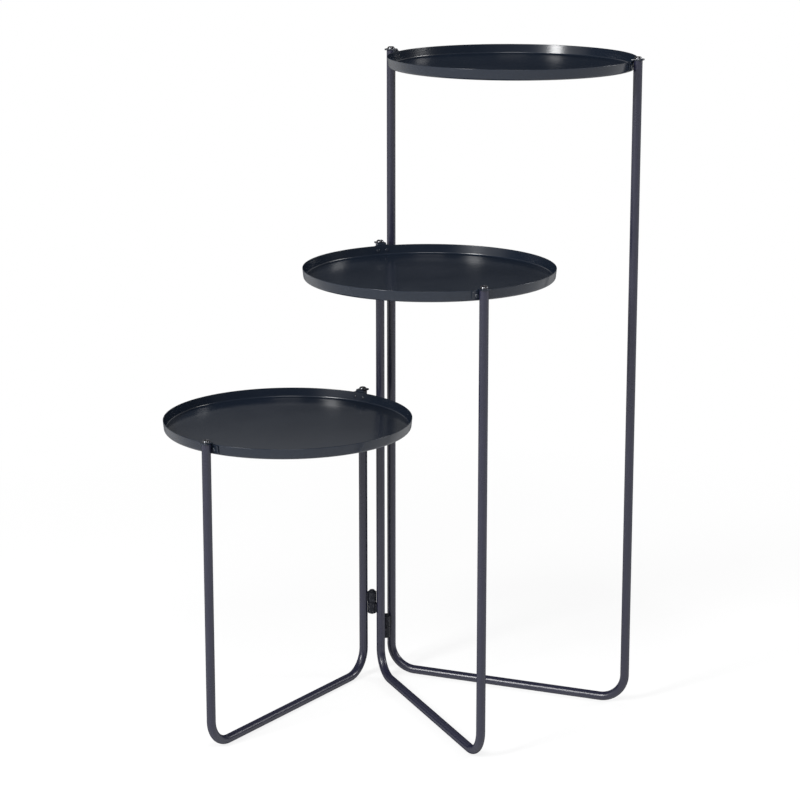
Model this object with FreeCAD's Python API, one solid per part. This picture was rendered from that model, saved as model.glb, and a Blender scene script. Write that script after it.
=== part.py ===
import FreeCAD, Part
import math
import os
from dataclasses import dataclass
from FreeCAD import Vector

# Three-tier folding plant stand. Three U-shaped tube frames of different heights each carry a round
# pressed tray. The low and the tall frame are hinged to the inner upright of the mid frame, so that
# the trays fan out, or fold in between each other's uprights.
#
# Millimetres and degrees, Z up, floor at Z = 0. The mid frame points along -Y from the hinged uprights.
# The origin lies on the floor, at the centre of the box round the whole stand.
# Each tier is drawn in a frame of its own: inner upright at the origin, outer upright along +X.

# Heights of the tube ends above the floor
LOW_HEIGHT = 352.0
MID_HEIGHT = 527.0
TALL_HEIGHT = 748.0

# Angles that the swinging frames stand open from the mid frame
LOW_OPENING = 56.5
TALL_OPENING = 45.5

# Bent tube of the frames
TUBE_DIAMETER = 10.0
TUBE_WALL = 1.0
CORNER_RADIUS = 30.0
TUBE_END_CHAMFER = 0.6

# Pressed trays
TRAY_DIAMETER = 280.0
TRAY_DEPTH = 12.0
TRAY_SHEET = 1.0
TRAY_DRAFT = 6.0
TRAY_FLOOR_RADIUS = 3.0
RIM_DROP = 1.4

# Bent brackets between rim and tube end
BRACKET_SHEET = 1.5
BRACKET_BEND = 0.5
FLANGE_WIDTH = 23.0
FLANGE_LENGTH = 10.0
FLANGE_CORNER = 1.5
SHOULDER_DROP = 1.0
TAB_WIDTH = 11.0
TAB_OVERHANG = 1.5
TAB_CORNER = 2.0

# Rivets through flange and rim
RIVET_DIAMETER = 3.0
RIVET_SPACING = 11.0
RIVET_DROP = 5.5
RIVET_HEAD_DIAMETER = 4.8
RIVET_HEAD_HEIGHT = 1.1
RIVET_TAIL_DIAMETER = 4.0
RIVET_TAIL_HEIGHT = 0.7

# Screws through the tabs, and the threaded inserts that they hold in
SCREW_DIAMETER = 4.0
SCREW_LENGTH = 12.0
SCREW_HEAD_DIAMETER = 8.5
SCREW_HEAD_HEIGHT = 2.6
RECESS_WIDTH = 4.6
RECESS_SLOT = 1.1
RECESS_DEPTH = 1.5
INSERT_LENGTH = 14.0

# Barrel hinges welded to the uprights
KNUCKLE_DIAMETER = 10.0
KNUCKLE_HEIGHT = 13.2
KNUCKLE_CHAMFER = 0.5
KNUCKLE_TUBE_GAP = 0.35
PIN_DIAMETER = 5.0
PIN_HEAD_DIAMETER = 7.0
PIN_HEAD_HEIGHT = 1.8
PIN_TAIL_DIAMETER = 6.0
PIN_TAIL_HEIGHT = 1.2
WELD_HALF_WIDTH = 2.6
WELD_RADIUS = 1.3
WELD_END_GAP = 1.2

# Angles between the line back from a frame and its barrels
LOW_HINGE_MID_SIDE = 63.0
LOW_HINGE_LOW_SIDE = 63.0
TALL_HINGE_MID_SIDE = 60.0
TALL_HINGE_TALL_SIDE = 73.0

# Clear lengths of upright, from the floor bend to a bottom hinge and from a top hinge to the tray
LOW_BOTTOM_HINGE_LIFT = 43.5
TALL_BOTTOM_HINGE_LIFT = 10.5
TOP_HINGE_DROP = 12.0

# Round heads and tails: share of their height that the rounded edge takes, and its number of cones
HEAD_ROUNDING = 0.9
HEAD_CONES = 2

# Clearances
FIXED_FIT = 0.02
RUNNING_FIT = 0.08
HOLE_CLEARANCE = 0.25
HINGE_END_GAP = 0.3
SEAT_GAP = 0.03

# Sizes that follow from those above
TUBE_RADIUS = TUBE_DIAMETER / 2
BORE_RADIUS = TUBE_RADIUS - TUBE_WALL
TRAY_RADIUS = TRAY_DIAMETER / 2
FRAME_WIDTH = 2 * (TRAY_RADIUS + BRACKET_SHEET + TUBE_RADIUS)
HINGE_REACH = TUBE_RADIUS + KNUCKLE_DIAMETER / 2 + KNUCKLE_TUBE_GAP
TAN_DRAFT = math.tan(math.radians(TRAY_DRAFT))
COS_DRAFT = math.cos(math.radians(TRAY_DRAFT))
MID_AZIMUTH = -90.0
SAME_POINT = 1e-6
UP = Vector(0, 0, 1)
DOWN = Vector(0, 0, -1)


@dataclass
class Tier:
    """One frame with its tray: the height of its tube ends, and where it stands."""
    name: str
    height: float
    azimuth: float
    column: Vector


@dataclass
class Hinge:
    """One barrel hinge: the height of its joint face, its axis and the swinging frame's upright."""
    name: str
    height: float
    axis: Vector
    swing_column: Vector


def direction(azimuth):
    """The level unit vector at an angle from +X."""
    turn = math.radians(azimuth)
    return Vector(math.cos(turn), math.sin(turn), 0)


def hinge_axis(side, mid_angle):
    """Where a hinge's axis meets the floor; side is -1 for the low frame and 1 for the tall one."""
    return direction(MID_AZIMUTH + 180 - side * mid_angle) * HINGE_REACH


def bottom_hinge_height(lift):
    """Height of the joint face of a hinge whose seat knuckle starts at a lift above the floor bend."""
    return TUBE_RADIUS + CORNER_RADIUS + lift + KNUCKLE_HEIGHT + HINGE_END_GAP / 2


def top_hinge_height(tube_top):
    """Height of the joint face of a hinge whose pin head ends below the tray on a tube end."""
    tray_bottom = tube_top - RIM_DROP - TRAY_DEPTH
    return tray_bottom - TOP_HINGE_DROP - PIN_HEAD_HEIGHT - KNUCKLE_HEIGHT - 1.5 * HINGE_END_GAP


def swinging_tier(name, height, side, opening, axis, frame_angle):
    """A tier whose inner upright stands beside the hinge axis, opened from the mid frame."""
    azimuth = MID_AZIMUTH + side * opening
    column = axis - direction(azimuth + 180 + side * frame_angle) * HINGE_REACH
    return Tier(name, height, azimuth, column)


LOW_AXIS = hinge_axis(-1, LOW_HINGE_MID_SIDE)
TALL_AXIS = hinge_axis(1, TALL_HINGE_MID_SIDE)
LOW = swinging_tier("low", LOW_HEIGHT, -1, LOW_OPENING, LOW_AXIS, LOW_HINGE_LOW_SIDE)
MID = Tier("mid", MID_HEIGHT, MID_AZIMUTH, Vector(0, 0, 0))
TALL = swinging_tier("tall", TALL_HEIGHT, 1, TALL_OPENING, TALL_AXIS, TALL_HINGE_TALL_SIDE)
TIERS = (LOW, MID, TALL)
HINGES = (
    Hinge("low_bottom_hinge", bottom_hinge_height(LOW_BOTTOM_HINGE_LIFT), LOW_AXIS, LOW.column),
    Hinge("low_top_hinge", top_hinge_height(LOW_HEIGHT), LOW_AXIS, LOW.column),
    Hinge("tall_bottom_hinge", bottom_hinge_height(TALL_BOTTOM_HINGE_LIFT), TALL_AXIS, TALL.column),
    Hinge("tall_top_hinge", top_hinge_height(MID_HEIGHT), TALL_AXIS, TALL.column),
)


def rounded_corner(before, corner, after, radius):
    """The tangent arc that rounds one corner of a path."""
    back = (before - corner).normalize()
    ahead = (after - corner).normalize()
    half = back.getAngle(ahead) / 2
    setback = radius / math.tan(half)
    middle = corner + (back + ahead).normalize() * (radius / math.sin(half) - radius)
    return Part.Arc(corner + back * setback, middle, corner + ahead * setback).toShape()


def rounded_wire(corners, closed=True):
    """A wire of straight runs through (point, radius) corners, rounded where the radius isn't zero."""
    count = len(corners)
    arcs = []
    for index, (corner, radius) in enumerate(corners):
        if radius > 0:
            before = corners[index - 1][0]
            after = corners[(index + 1) % count][0]
            arcs.append(rounded_corner(before, corner, after, radius))
        else:
            arcs.append(None)
    edges = []
    for index in range(count):
        arc = arcs[index]
        if arc:
            edges.append(arc)
        if index == count - 1 and not closed:
            break
        start = arc.lastVertex().Point if arc else corners[index][0]
        following = (index + 1) % count
        end = arcs[following].firstVertex().Point if arcs[following] else corners[following][0]
        if start.distanceToPoint(end) > SAME_POINT:
            edges.append(Part.makeLine(start, end))
    return Part.Wire(edges)


def turned(corners):
    """The solid of revolution about Z of a closed profile of (radius, height, corner radius) points."""
    profile = [(Vector(r, 0, z), corner) for r, z, corner in corners]
    return Part.Face(rounded_wire(profile)).revolve(Vector(0, 0, 0), UP, 360)


def round_head(radius, seat, crown):
    """The outline of a round head from its seat to its crown, its edge rounded off in cones."""
    ease = (crown - seat) * HEAD_ROUNDING
    outline = [(radius, seat, 0)]
    for cone in range(HEAD_CONES + 1):
        turn = math.pi / 2 * cone / HEAD_CONES
        inward = abs(ease) * (1 - math.cos(turn))
        outline.append((radius - inward, crown - ease * (1 - math.sin(turn)), 0))
    outline.append((0, crown, 0))
    return outline


def aimed(shape, place, axis):
    """A copy of a shape drawn along Z, turned to point along an axis and moved to its place."""
    copy = shape.copy()
    copy.Placement = FreeCAD.Placement(place, FreeCAD.Rotation(UP, axis))
    return copy


def in_tier(shape, tier):
    """A copy of a shape drawn in a tier's own frame, moved to where the tier stands."""
    copy = shape.copy()
    copy.rotate(Vector(0, 0, 0), UP, tier.azimuth)
    copy.translate(tier.column)
    return copy


def round_bar(path, radius):
    """A round bar along a path that starts straight down."""
    start = path.OrderedVertexes[0].Point
    section = Part.Face(Part.Wire(Part.makeCircle(radius, start, DOWN)))
    return path.makePipe(section)


def make_frame(tier):
    """The bent tube: two uprights and a floor bar, open at the top ends, with eased outer edges."""
    corners = [
        (Vector(0, 0, tier.height), 0),
        (Vector(0, 0, TUBE_RADIUS), CORNER_RADIUS),
        (Vector(FRAME_WIDTH, 0, TUBE_RADIUS), CORNER_RADIUS),
        (Vector(FRAME_WIDTH, 0, tier.height), 0),
    ]
    path = rounded_wire(corners, closed=False)
    tube = round_bar(path, TUBE_RADIUS).cut(round_bar(path, BORE_RADIUS))
    rims = [edge for edge in tube.Edges if is_outer_rim(edge, tier.height)]
    return tube.makeChamfer(TUBE_END_CHAMFER, rims)


def is_outer_rim(edge, height):
    """Whether an edge is the outer circle of a tube end at this height."""
    box = edge.BoundBox
    return box.ZMin > height - TUBE_WALL and box.XLength > 2 * BORE_RADIUS + TUBE_WALL


def rim_height(tier):
    """Height of the tray's top edge."""
    return tier.height - RIM_DROP


def wall_radius(drop):
    """Outer radius of the tray's wall, at a drop below its top edge."""
    return TRAY_RADIUS - drop * TAN_DRAFT


def make_tray(tier):
    """The pressed tray: a flat floor and a low drafted wall, with holes for the rivets."""
    rim = rim_height(tier)
    wall = TRAY_SHEET / COS_DRAFT
    floor = TRAY_DEPTH - TRAY_SHEET
    tray = turned([
        (0, rim - TRAY_DEPTH, 0),
        (wall_radius(TRAY_DEPTH), rim - TRAY_DEPTH, TRAY_FLOOR_RADIUS),
        (wall_radius(0), rim, 0),
        (wall_radius(0) - wall, rim, 0),
        (wall_radius(floor) - wall, rim - floor, TRAY_FLOOR_RADIUS - TRAY_SHEET),
        (0, rim - floor, 0),
    ])
    tray.translate(Vector(FRAME_WIDTH / 2, 0, 0))
    for side in (-1, 1):
        tray = tray.cut(rivet_holes(tier, side))
    return tray


def tray_centre():
    """The tray's axis in its tier's frame."""
    return Vector(FRAME_WIDTH / 2, 0, 0)


def bracket_turn(side):
    """Angle of a bracket round the tray: side is -1 at the inner upright and 1 at the outer one."""
    return 0 if side > 0 else 180


def make_bracket(tier, side):
    """The bent bracket: a curved flange on the rim, narrowing to a tab over the tube end."""
    rim = rim_height(tier)
    top = tier.height
    face = TRAY_RADIUS + SEAT_GAP
    foot = face - FLANGE_LENGTH * TAN_DRAFT
    outer_bend = BRACKET_BEND + BRACKET_SHEET
    tab_end = TRAY_RADIUS + BRACKET_SHEET + TUBE_DIAMETER + TAB_OVERHANG
    flange_sheet = (BRACKET_SHEET - SEAT_GAP) / COS_DRAFT
    section = [
        (Vector(foot, 0, rim - FLANGE_LENGTH), 0),
        (Vector(face, 0, rim), 0),
        (Vector(face, 0, top + BRACKET_SHEET), outer_bend),
        (Vector(tab_end, 0, top + BRACKET_SHEET), 0),
        (Vector(tab_end, 0, top), 0),
        (Vector(TRAY_RADIUS + BRACKET_SHEET, 0, top), BRACKET_BEND),
        (Vector(TRAY_RADIUS + BRACKET_SHEET, 0, rim), 0),
        (Vector(foot + flange_sheet, 0, rim - FLANGE_LENGTH), 0),
    ]
    sweep = math.degrees(FLANGE_WIDTH / TRAY_RADIUS)
    sheet = Part.Face(rounded_wire(section)).revolve(Vector(0, 0, 0), UP, sweep)
    sheet.rotate(Vector(0, 0, 0), UP, -sweep / 2)
    bracket = sheet.common(bracket_front(rim, top)).common(tab_plan(tab_end, top))
    bracket = bracket.cut(tab_hole(top))
    bracket.rotate(Vector(0, 0, 0), UP, bracket_turn(side))
    bracket.translate(tray_centre())
    return bracket.cut(rivet_holes(tier, side))


def bracket_front(rim, top):
    """The bracket's outline seen from outside: wide on the rim, sloped shoulders, narrow at the tab."""
    half = FLANGE_WIDTH / 2
    tab = TAB_WIDTH / 2
    shoulder = rim - SHOULDER_DROP
    foot = rim - FLANGE_LENGTH
    outline = [
        (Vector(0, -half, foot), FLANGE_CORNER),
        (Vector(0, half, foot), FLANGE_CORNER),
        (Vector(0, half, shoulder), FLANGE_CORNER),
        (Vector(0, tab, top - BRACKET_BEND), 0),
        (Vector(0, tab, top + 2 * BRACKET_SHEET), 0),
        (Vector(0, -tab, top + 2 * BRACKET_SHEET), 0),
        (Vector(0, -tab, top - BRACKET_BEND), 0),
        (Vector(0, -half, shoulder), FLANGE_CORNER),
    ]
    return Part.Face(rounded_wire(outline)).extrude(Vector(2 * TRAY_RADIUS, 0, 0))


def tab_plan(tab_end, top):
    """A block that rounds the tab's outer corners, seen from above, and leaves the flange whole."""
    half = FLANGE_WIDTH
    tab = TAB_WIDTH / 2
    neck = TRAY_RADIUS + BRACKET_SHEET + BRACKET_BEND
    outline = [
        (Vector(0, -half, 0), 0),
        (Vector(neck, -half, 0), 0),
        (Vector(neck, -tab, 0), 0),
        (Vector(tab_end, -tab, 0), TAB_CORNER),
        (Vector(tab_end, tab, 0), TAB_CORNER),
        (Vector(neck, tab, 0), 0),
        (Vector(neck, half, 0), 0),
        (Vector(0, half, 0), 0),
    ]
    return Part.Face(rounded_wire(outline)).extrude(Vector(0, 0, top + 2 * BRACKET_SHEET))


def tab_hole(top):
    """The drill for the screw, at the tube's axis."""
    place = Vector(FRAME_WIDTH / 2, 0, top - BRACKET_SHEET)
    return Part.makeCylinder(SCREW_DIAMETER / 2 + HOLE_CLEARANCE, 3 * BRACKET_SHEET, place)


def rivet_places(tier, side):
    """(place, outward axis) of a bracket's two rivets, where each crosses the wall's outer face."""
    places = []
    for offset in (-1, 1):
        bearing = math.degrees(offset * RIVET_SPACING / 2 / TRAY_RADIUS) + bracket_turn(side)
        outward = direction(bearing)
        height = rim_height(tier) - RIVET_DROP
        place = tray_centre() + outward * wall_radius(RIVET_DROP) + Vector(0, 0, height)
        places.append((place, outward * COS_DRAFT - UP * (TAN_DRAFT * COS_DRAFT)))
    return places


def rivet_holes(tier, side):
    """The drills for a bracket's two rivets, through the flange and the wall."""
    radius = RIVET_DIAMETER / 2 + FIXED_FIT
    reach = TRAY_SHEET + 2 * BRACKET_SHEET
    drill = Part.makeCylinder(radius, 2 * reach, Vector(0, 0, -reach))
    return Part.makeCompound([aimed(drill, place, axis) for place, axis in rivet_places(tier, side)])


def make_rivets(tier):
    """The tier's four rivets: a round head outside the flange and a lower tail inside the wall."""
    head_seat = BRACKET_SHEET + SEAT_GAP
    tail_seat = -TRAY_SHEET - SEAT_GAP
    tail = round_head(RIVET_TAIL_DIAMETER / 2, tail_seat, tail_seat - RIVET_TAIL_HEIGHT)
    shank = [(RIVET_DIAMETER / 2, tail_seat, 0), (RIVET_DIAMETER / 2, head_seat, 0)]
    head = round_head(RIVET_HEAD_DIAMETER / 2, head_seat, head_seat + RIVET_HEAD_HEIGHT)
    rivet = turned(tail[::-1] + shank + head)
    places = rivet_places(tier, -1) + rivet_places(tier, 1)
    return Part.makeCompound([aimed(rivet, place, axis) for place, axis in places])


def tube_ends(tier):
    """The centres of the two tube ends, in the tier's frame."""
    return (Vector(0, 0, tier.height), Vector(FRAME_WIDTH, 0, tier.height))


def make_screws(tier):
    """The tier's two pan-head screws, seated on the tabs, with cross recesses."""
    seat = BRACKET_SHEET
    top = seat + SCREW_HEAD_HEIGHT
    tip = seat - SCREW_LENGTH
    shank = [(0, tip, 0), (SCREW_DIAMETER / 2, tip, 0), (SCREW_DIAMETER / 2, seat, 0)]
    screw = turned(shank + round_head(SCREW_HEAD_DIAMETER / 2, seat, top))
    for length, width in ((RECESS_WIDTH, RECESS_SLOT), (RECESS_SLOT, RECESS_WIDTH)):
        corner = Vector(-length / 2, -width / 2, top - RECESS_DEPTH)
        screw = screw.cut(Part.makeBox(length, width, 2 * RECESS_DEPTH, corner))
    return Part.makeCompound([aimed(screw, end, UP) for end in tube_ends(tier)])


def make_inserts(tier):
    """The tier's two threaded plugs, pressed in flush with the tube ends."""
    plug = Part.makeCylinder(BORE_RADIUS - FIXED_FIT, INSERT_LENGTH, Vector(0, 0, -INSERT_LENGTH))
    thread = Part.makeCylinder(SCREW_DIAMETER / 2 + FIXED_FIT, INSERT_LENGTH, Vector(0, 0, -INSERT_LENGTH))
    insert = plug.cut(thread)
    return Part.makeCompound([aimed(insert, end, UP) for end in tube_ends(tier)])


def make_knuckle(hinge, column, bottom, bore_radius):
    """Half of a hinge's barrel, with the weld that holds it to an upright."""
    radius = KNUCKLE_DIAMETER / 2
    barrel = turned([
        (bore_radius, 0, 0),
        (radius - KNUCKLE_CHAMFER, 0, 0),
        (radius, KNUCKLE_CHAMFER, 0),
        (radius, KNUCKLE_HEIGHT - KNUCKLE_CHAMFER, 0),
        (radius - KNUCKLE_CHAMFER, KNUCKLE_HEIGHT, 0),
        (bore_radius, KNUCKLE_HEIGHT, 0),
    ])
    barrel.translate(hinge.axis + UP * bottom)
    return barrel.fuse(make_weld(hinge, column, bottom)).removeSplitter()


def make_weld(hinge, column, bottom):
    """The two weld beads along a knuckle, and the metal between them, up to the upright's face."""
    height = KNUCKLE_HEIGHT - 2 * WELD_END_GAP
    weld = Part.makeBox(HINGE_REACH, 2 * WELD_HALF_WIDTH, height, Vector(0, -WELD_HALF_WIDTH, 0))
    bead_place = HINGE_REACH * KNUCKLE_DIAMETER / (KNUCKLE_DIAMETER + TUBE_DIAMETER)
    for side in (-1, 1):
        bead = Part.makeCylinder(WELD_RADIUS, height, Vector(bead_place, side * WELD_HALF_WIDTH, 0))
        weld = weld.fuse(bead)
    towards = column - hinge.axis
    weld.rotate(Vector(0, 0, 0), UP, math.degrees(math.atan2(towards.y, towards.x)))
    weld.translate(hinge.axis + UP * (bottom + WELD_END_GAP))
    upright = Part.makeCylinder(TUBE_RADIUS, KNUCKLE_HEIGHT, column + UP * bottom)
    core_radius = (PIN_DIAMETER + KNUCKLE_DIAMETER) / 4
    core = Part.makeCylinder(core_radius, KNUCKLE_HEIGHT, hinge.axis + UP * bottom)
    return weld.cut(upright).cut(core)


def make_seat_knuckle(hinge):
    """The lower knuckle, welded to the mid frame; the pin is fixed in it."""
    bottom = hinge.height - HINGE_END_GAP / 2 - KNUCKLE_HEIGHT
    return make_knuckle(hinge, MID.column, bottom, PIN_DIAMETER / 2 + FIXED_FIT)


def make_swing_knuckle(hinge):
    """The upper knuckle, welded to the swinging frame, which turns on the pin."""
    bottom = hinge.height + HINGE_END_GAP / 2
    return make_knuckle(hinge, hinge.swing_column, bottom, PIN_DIAMETER / 2 + RUNNING_FIT)


def make_pin(hinge):
    """The hinge pin: round head above the swing knuckle, riveted tail below the seat knuckle."""
    head_seat = hinge.height + HINGE_END_GAP / 2 + KNUCKLE_HEIGHT + HINGE_END_GAP
    tail_seat = hinge.height - HINGE_END_GAP / 2 - KNUCKLE_HEIGHT
    tail = round_head(PIN_TAIL_DIAMETER / 2, tail_seat, tail_seat - PIN_TAIL_HEIGHT)
    shank = [(PIN_DIAMETER / 2, tail_seat, 0), (PIN_DIAMETER / 2, head_seat, 0)]
    head = round_head(PIN_HEAD_DIAMETER / 2, head_seat, head_seat + PIN_HEAD_HEIGHT)
    pin = turned(tail[::-1] + shank + head)
    pin.translate(hinge.axis)
    return pin


def tier_nodes(tier):
    """The seven nodes of one tier, by name."""
    local = {
        "frame": make_frame(tier),
        "tray": make_tray(tier),
        "inner_bracket": make_bracket(tier, -1),
        "outer_bracket": make_bracket(tier, 1),
        "rivets": make_rivets(tier),
        "screws": make_screws(tier),
        "tube_inserts": make_inserts(tier),
    }
    return {f"{tier.name}_{piece}": in_tier(shape, tier) for piece, shape in local.items()}


def hinge_nodes(hinge):
    """The three nodes of one hinge, by name."""
    return {
        f"{hinge.name}_seat_knuckle": make_seat_knuckle(hinge),
        f"{hinge.name}_swing_knuckle": make_swing_knuckle(hinge),
        f"{hinge.name}_pin": make_pin(hinge),
    }


def floor_centre(shapes):
    """The point on the floor under the centre of the box round all the shapes."""
    box = Part.makeCompound(shapes).optimalBoundingBox(False, False)
    return Vector(box.Center.x, box.Center.y, 0)


def make_stand():
    """Every node of the stand by name, about the stand's origin, and that origin's old place."""
    nodes = {}
    for tier in TIERS:
        nodes.update(tier_nodes(tier))
    for hinge in HINGES:
        nodes.update(hinge_nodes(hinge))
    centre = floor_centre(list(nodes.values()))
    for shape in nodes.values():
        shape.translate(-centre)
    return nodes, centre


def main():
    """Writes one file for each node."""
    os.makedirs("parts", exist_ok=True)
    nodes, centre = make_stand()
    for name, shape in nodes.items():
        shape.exportStep(os.path.join("parts", f"{name}.step"))
    print(f"{len(nodes)} nodes; the hinged upright of the mid frame stands at {-centre}")


if __name__ == "__main__":
    main()
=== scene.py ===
"""A folding plant stand with three round trays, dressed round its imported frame.

Three U-shaped tube frames of different heights each carry a shallow pressed tray on two riveted
brackets. The low and the tall frame swing on barrel hinges beside the mid frame's inner upright.

Sizes in the classes are millimetres; every mesh is written in metres, floor at Z = 0.
"""

import logging
import math
from dataclasses import dataclass
from enum import Enum
from typing import Any, Callable, Iterable, Sequence

import bmesh
import bpy
from mathutils import Matrix, Vector


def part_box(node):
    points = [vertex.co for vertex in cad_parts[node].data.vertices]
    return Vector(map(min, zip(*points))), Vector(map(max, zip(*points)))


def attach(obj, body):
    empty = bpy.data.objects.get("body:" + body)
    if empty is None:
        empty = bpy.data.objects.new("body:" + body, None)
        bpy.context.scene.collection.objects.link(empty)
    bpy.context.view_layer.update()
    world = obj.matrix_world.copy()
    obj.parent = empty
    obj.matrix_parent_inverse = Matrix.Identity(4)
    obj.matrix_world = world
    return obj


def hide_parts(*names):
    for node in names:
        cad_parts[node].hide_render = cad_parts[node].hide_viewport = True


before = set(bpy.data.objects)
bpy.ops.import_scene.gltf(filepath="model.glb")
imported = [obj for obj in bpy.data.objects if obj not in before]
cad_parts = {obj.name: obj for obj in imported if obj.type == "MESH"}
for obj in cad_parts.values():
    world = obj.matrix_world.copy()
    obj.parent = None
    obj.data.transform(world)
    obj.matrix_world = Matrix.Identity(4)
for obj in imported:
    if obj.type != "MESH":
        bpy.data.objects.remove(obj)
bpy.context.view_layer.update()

log = logging.getLogger("plant_stand")

MM = 0.001
SMOOTH_ANGLE = math.radians(38)

# Sizes that several pieces share, in millimetres
TUBE_RADIUS = 5.0
FRAME_WIDTH = 293.0
BRACKET_SHEET = 1.5
SEAT_GAP = 0.03

# Points nearer than this are one point, and a ring smaller than this lies on the axis
MERGE_DISTANCE = 1e-4
ON_AXIS = 1e-6

# Chords in a rounding, and the share of a head's height that its rounded edge takes
ROUNDING_STEPS = 8
HEAD_ROUNDING = 0.9

# Bearing of each tier's outer upright from its inner one, in degrees
AZIMUTHS = {"low": -146.5, "mid": -90.0, "tall": -44.5}

Mesh = bpy.types.Mesh
Material = bpy.types.Material
Thing = bpy.types.Object
Point = tuple[float, float]
Place = tuple[float, float, float]
Stops = tuple[Point, ...]
Colour = tuple[float, float, float]
Spot = tuple[Vector, Vector]
Ring = list[bmesh.types.BMVert]

WHITE: Colour = (1.0, 1.0, 1.0)


class Slot(Enum):
    """The record's material slots."""

    FRAMES = "powder_coated_frames"
    TRAYS = "powder_coated_trays"
    SCREWS = "blackened_screws"


class Side(Enum):
    """The two uprights of a frame, as the direction from the tray's axis."""

    INNER = -1
    OUTER = 1

    @property
    def facing(self) -> float:
        """The side's bearing from the tray's axis, in radians."""
        return 0.0 if self is Side.OUTER else math.pi


# ---- node trees


def math_node(operation: str, reflected: bool = False) -> Callable[..., "Signal"]:
    """A method of Signal that adds one Math node.

    Args:
        operation: The node's operation.
        reflected: Whether the signal is the second operand.

    Returns:
        The method, which takes the other operand where there is one.
    """
    def method(self: "Signal", other: Any = 0.0) -> "Signal":
        first, second = (other, self) if reflected else (self, other)
        return self.tree.node("ShaderNodeMath", {"operation": operation}, {0: first, 1: second})

    return method


class Signal:
    """One output socket of a node tree, with arithmetic that adds Math nodes."""

    def __init__(self, tree: "NodeTree", socket: bpy.types.NodeSocket) -> None:
        """Wraps a socket.

        Args:
            tree: The tree that the socket belongs to.
            socket: The output socket.
        """
        self.tree = tree
        self.socket = socket

    __add__ = math_node("ADD")
    __radd__ = math_node("ADD", reflected=True)
    __sub__ = math_node("SUBTRACT")
    __rsub__ = math_node("SUBTRACT", reflected=True)
    __mul__ = math_node("MULTIPLY")
    __truediv__ = math_node("DIVIDE")
    __pow__ = math_node("POWER")
    __lt__ = math_node("LESS_THAN")
    sine = math_node("SINE")
    size = math_node("ABSOLUTE")
    most = math_node("MAXIMUM")
    least = math_node("MINIMUM")


class NodeTree:
    """Builds nodes in a shader or geometry tree through one method."""

    def __init__(self, tree: bpy.types.NodeTree) -> None:
        """Takes the tree that the nodes go into."""
        self.tree = tree

    def node(
        self,
        kind: str,
        settings: dict[str, Any] | None = None,
        sockets: dict[int | str, Any] | None = None,
        output: int | str = 0,
    ) -> Signal:
        """Adds a node.

        Args:
            kind: The node's type.
            settings: The node's properties, set first; "stops" fills a colour ramp.
            sockets: Values or signals for the node's inputs, by name or number.
            output: The output that is wanted, by name or number.

        Returns:
            The wanted output.
        """
        node = self.tree.nodes.new(kind)
        for name, value in (settings or {}).items():
            if name == "stops":
                self._fill_ramp(node.color_ramp, value)
            else:
                setattr(node, name, value)
        for name, value in (sockets or {}).items():
            if isinstance(value, Signal):
                self.tree.links.new(value.socket, node.inputs[name])
            else:
                node.inputs[name].default_value = value
        return Signal(self, node.outputs[output] if len(node.outputs) else None)

    @staticmethod
    def _fill_ramp(ramp: bpy.types.ColorRamp, stops: Stops) -> None:
        """Sets a ramp's grey stops, given as (position, level)."""
        while len(ramp.elements) < len(stops):
            ramp.elements.new(1.0)
        for element, (position, level) in zip(ramp.elements, stops):
            element.position = position
            element.color = (level, level, level, 1.0)


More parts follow.
